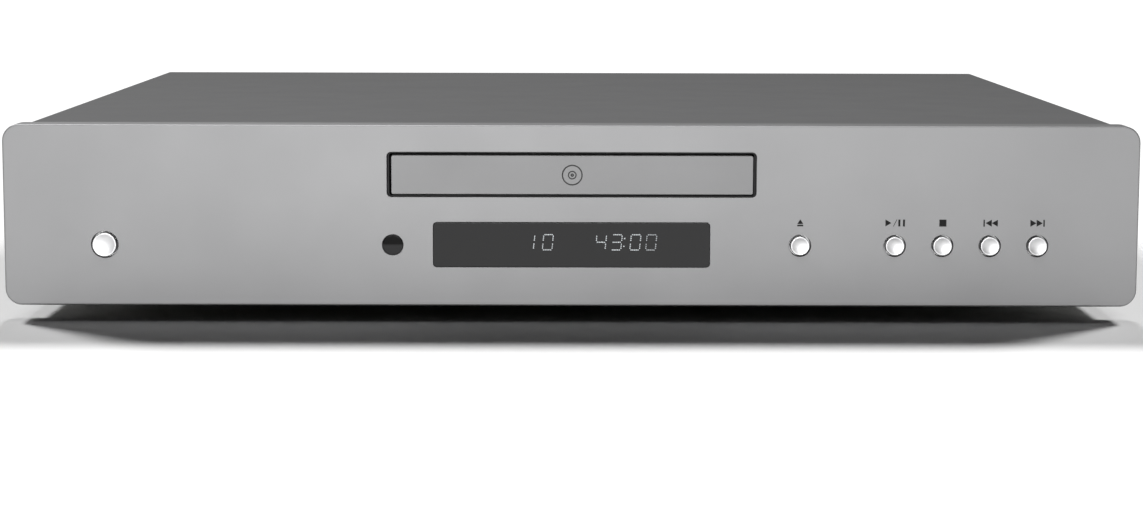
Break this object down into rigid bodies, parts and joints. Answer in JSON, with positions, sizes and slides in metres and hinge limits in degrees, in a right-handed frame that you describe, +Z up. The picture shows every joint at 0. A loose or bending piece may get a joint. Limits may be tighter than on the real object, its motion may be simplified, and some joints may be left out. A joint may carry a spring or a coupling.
{
  "type": "cd player",
  "caption": "Full-width hi-fi disc player: metal front with a motor-driven disc tray, display window, round push buttons, folded steel case, drive mechanism, power supply and rear sockets.",
  "frame": {"origin": "middle of the footprint, on the surface that the rubber pads stand on", "axes": "+X to the right seen from the front, +Y to the back, +Z up; the front panel faces -Y"},
  "size_m": [0.43, 0.305, 0.075],
  "materials": {
    "brushed_panel": "fine bead-blasted and anodised, silver grey",
    "door_metal": "fine bead-blasted and anodised, silver grey",
    "button_metal": "turned, dished and polished",
    "cover_paint": "satin dark grey powder coat",
    "black_plastic": "fine moulded texture",
    "tray_plastic": "fine moulded texture",
    "foot_plastic": "moulded",
    "white_plastic": "natural acetal",
    "smoked_window": "smoked, polished",
    "black_gloss": "polished",
    "display": "dark display with light segments",
    "light_guide": "clear light guide",
    "rubber": "moulded",
    "plated_steel": "zinc plated",
    "bright_steel": "ground and polished",
    "motor_can": "nickel plated",
    "deck_metal": "die cast, unpainted",
    "black_screw": "black oxide",
    "board": "green solder mask",
    "capacitor_sleeve": "printed-free shrink sleeve",
    "gold_plate": "gold plated",
    "ribbon": "flat ribbon",
    "transformer_tape": "wound polyester tape",
    "lens_glass": "polished"
  },
  "bodies": {
    "root": {"front_panel": "brushed_panel", "tray_surround": "black_plastic", "display_window": "smoked_window", "ir_window": "black_gloss", "front_subframe": "black_plastic", "base_chassis": "plated_steel", "rear_panel": "cover_paint", "top_cover": "cover_paint", "foot_front_left": "foot_plastic", "foot_front_right": "foot_plastic", "foot_rear_left": "foot_plastic", "foot_rear_right": "foot_plastic", "foot_pads": "rubber", "case_screws": "black_screw", "chassis_screws": "plated_steel", "control_board": "board", "tact_switches": "black_plastic", "ir_receiver": "black_gloss", "display_module": "display", "mechanism_brackets": "plated_steel", "loader_frame": "black_plastic", "clamp_bridge": "plated_steel", "load_motor": "motor_can", "load_belt": "rubber", "main_board": "board", "capacitors": "capacitor_sleeve", "chips": "black_plastic", "output_sockets": "gold_plate", "ribbon_cables": "ribbon", "transformer": "transformer_tape", "transformer_fixing": "plated_steel", "power_board": "board", "mains_inlet": "black_plastic", "rocker_housing": "black_plastic"},
    "tray": {"disc_tray": "tray_plastic", "tray_door": "door_metal"},
    "drive": {"drive_gear": "white_plastic"},
    "pulley": {"pulley_gear": "white_plastic"},
    "motor": {"motor_pulley": "white_plastic"},
    "cam": {"cam_slider": "white_plastic"},
    "traverse": {"traverse_base": "black_plastic", "damper_rubbers": "rubber", "optical_deck": "deck_metal", "spindle_motor": "motor_can", "guide_rods": "bright_steel", "sled_motor": "motor_can"},
    "spindle": {"turntable": "black_plastic"},
    "clamp": {"clamper": "white_plastic"},
    "sled": {"pickup": "deck_metal", "pickup_lens": "lens_glass"},
    "sled_wheel": {"sled_gear": "white_plastic"},
    "sled_drive": {"sled_pinion": "white_plastic"},
    "mains_rocker": {"rocker": "black_gloss"},
    "standby": {"standby_button": "button_metal", "standby_light": "light_guide"},
    "eject": {"eject_button": "button_metal"},
    "play": {"play_button": "button_metal"},
    "stop": {"stop_button": "button_metal"},
    "previous": {"previous_button": "button_metal"},
    "next": {"next_button": "button_metal"}
  },
  "joints": [
    {"name": "tray_slide", "type": "slide", "parent": "root", "child": "tray", "axis": [0, -1, 0], "range_m": [0, 0.138]},
    {"name": "drive_gear_spin", "type": "hinge", "parent": "root", "child": "drive", "pos_m": [-0.0485, -0.112, 0.04], "axis": [0, 0, 1], "continuous": true},
    {"name": "pulley_gear_spin", "type": "hinge", "parent": "root", "child": "pulley", "pos_m": [-0.0485, -0.0952, 0.032], "axis": [0, 0, 1], "continuous": true},
    {"name": "motor_pulley_spin", "type": "hinge", "parent": "root", "child": "motor", "pos_m": [-0.0485, -0.0592, 0.03], "axis": [0, 0, 1], "continuous": true},
    {"name": "deck_tilt", "type": "hinge", "parent": "root", "child": "traverse", "pos_m": [0, 0.027, 0.03875], "axis": [1, 0, 0], "range_deg": [0, 3.5]},
    {"name": "cam_slide", "type": "slide", "parent": "root", "child": "cam", "axis": [1, 0, 0], "range_m": [0, 0.024]},
    {"name": "spindle_spin", "type": "hinge", "parent": "traverse", "child": "spindle", "pos_m": [0, -0.077, 0.057], "axis": [0, 0, 1], "continuous": true},
    {"name": "clamper_spin", "type": "hinge", "parent": "root", "child": "clamp", "pos_m": [0, -0.077, 0.065], "axis": [0, 0, 1], "continuous": true},
    {"name": "sled_slide", "type": "slide", "parent": "traverse", "child": "sled", "axis": [0, 1, 0], "range_m": [0, 0.0355]},
    {"name": "sled_gear_spin", "type": "hinge", "parent": "traverse", "child": "sled_wheel", "pos_m": [0.0416, -0.033, 0.047], "axis": [0, 0, 1], "continuous": true},
    {"name": "sled_motor_spin", "type": "hinge", "parent": "traverse", "child": "sled_drive", "pos_m": [0.0416, -0.0162, 0.047], "axis": [0, 0, 1], "continuous": true},
    {"name": "mains_rocker_tilt", "type": "hinge", "parent": "root", "child": "mains_rocker", "pos_m": [-0.128, 0.1385, 0.036], "axis": [1, 0, 0], "range_deg": [0, 18]},
    {"name": "standby_press", "type": "slide", "parent": "root", "child": "standby", "axis": [0, 1, 0], "range_m": [0, 0.0006], "stiffness_N_per_m": 1500, "springref_m": -0.0002},
    {"name": "eject_press", "type": "slide", "parent": "root", "child": "eject", "axis": [0, 1, 0], "range_m": [0, 0.0006], "stiffness_N_per_m": 1500, "springref_m": -0.0002},
    {"name": "play_press", "type": "slide", "parent": "root", "child": "play", "axis": [0, 1, 0], "range_m": [0, 0.0006], "stiffness_N_per_m": 1500, "springref_m": -0.0002},
    {"name": "stop_press", "type": "slide", "parent": "root", "child": "stop", "axis": [0, 1, 0], "range_m": [0, 0.0006], "stiffness_N_per_m": 1500, "springref_m": -0.0002},
    {"name": "previous_press", "type": "slide", "parent": "root", "child": "previous", "axis": [0, 1, 0], "range_m": [0, 0.0006], "stiffness_N_per_m": 1500, "springref_m": -0.0002},
    {"name": "next_press", "type": "slide", "parent": "root", "child": "next", "axis": [0, 1, 0], "range_m": [0, 0.0006], "stiffness_N_per_m": 1500, "springref_m": -0.0002}
  ],
  "couplings": [
    {"joint": "drive_gear_spin", "follows": "tray_slide", "rad_per_m": 125},
    {"joint": "pulley_gear_spin", "follows": "tray_slide", "rad_per_m": -250},
    {"joint": "motor_pulley_spin", "follows": "tray_slide", "rad_per_m": -687.5},
    {"joint": "cam_slide", "follows": "deck_tilt", "m_per_rad": 0.39288},
    {"joint": "clamper_spin", "follows": "spindle_spin", "ratio": 1},
    {"joint": "sled_gear_spin", "follows": "sled_slide", "rad_per_m": -178.57},
    {"joint": "sled_motor_spin", "follows": "sled_slide", "rad_per_m": 446.43}
  ]
}
